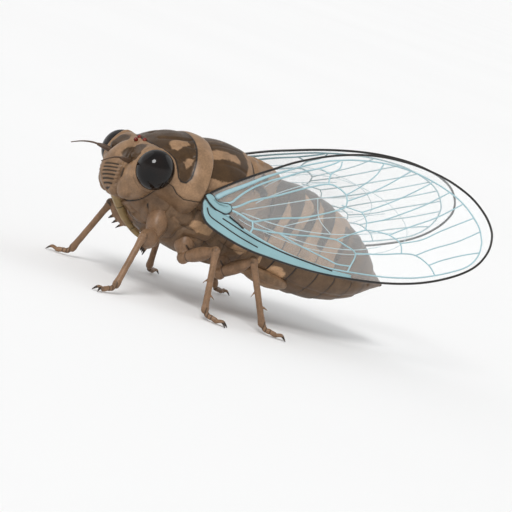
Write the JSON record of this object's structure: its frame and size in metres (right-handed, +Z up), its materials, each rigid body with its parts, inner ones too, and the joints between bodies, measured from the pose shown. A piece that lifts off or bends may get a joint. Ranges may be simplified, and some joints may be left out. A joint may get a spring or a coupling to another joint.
{
  "type": "cicada",
  "caption": "Life-size brown cicada standing at rest: broad head with round black eyes, ridged face, tapering ringed abdomen, and large clear veined wings held over its back like a roof.",
  "frame": {"origin": "on the floor under the feet, at the middle of the whole animal's length and width", "axes": "+Z up from the floor, -Y towards the face, +Y towards the wing tips, +X to the animal's left"},
  "size_m": [0.0244, 0.0472, 0.021],
  "materials": {
    "cuticle": "satin brown cuticle",
    "cuticle_dark": "satin dark brown cuticle",
    "leg": "satin brown cuticle",
    "eye": "glossy black compound eye",
    "beak": "satin tan cuticle",
    "wing": "clear thin membrane with raised veins"
  },
  "bodies": {
    "root": {"head": "cuticle", "eye_left": "eye", "eye_right": "eye", "antenna_left": "cuticle_dark", "antenna_right": "cuticle_dark", "rostrum": "beak", "prothorax": "cuticle", "mesothorax": "cuticle_dark", "abdomen": "cuticle", "operculum_left": "cuticle", "operculum_right": "cuticle", "front_left_upper_leg": "leg", "front_left_lower_leg": "leg", "front_right_upper_leg": "leg", "front_right_lower_leg": "leg", "middle_left_upper_leg": "leg", "middle_left_lower_leg": "leg", "middle_right_upper_leg": "leg", "middle_right_lower_leg": "leg", "hind_left_upper_leg": "leg", "hind_left_lower_leg": "leg", "hind_right_upper_leg": "leg", "hind_right_lower_leg": "leg", "forewing_left": "wing", "forewing_right": "wing", "hindwing_left": "wing", "hindwing_right": "wing"}
  },
  "joints": []
}
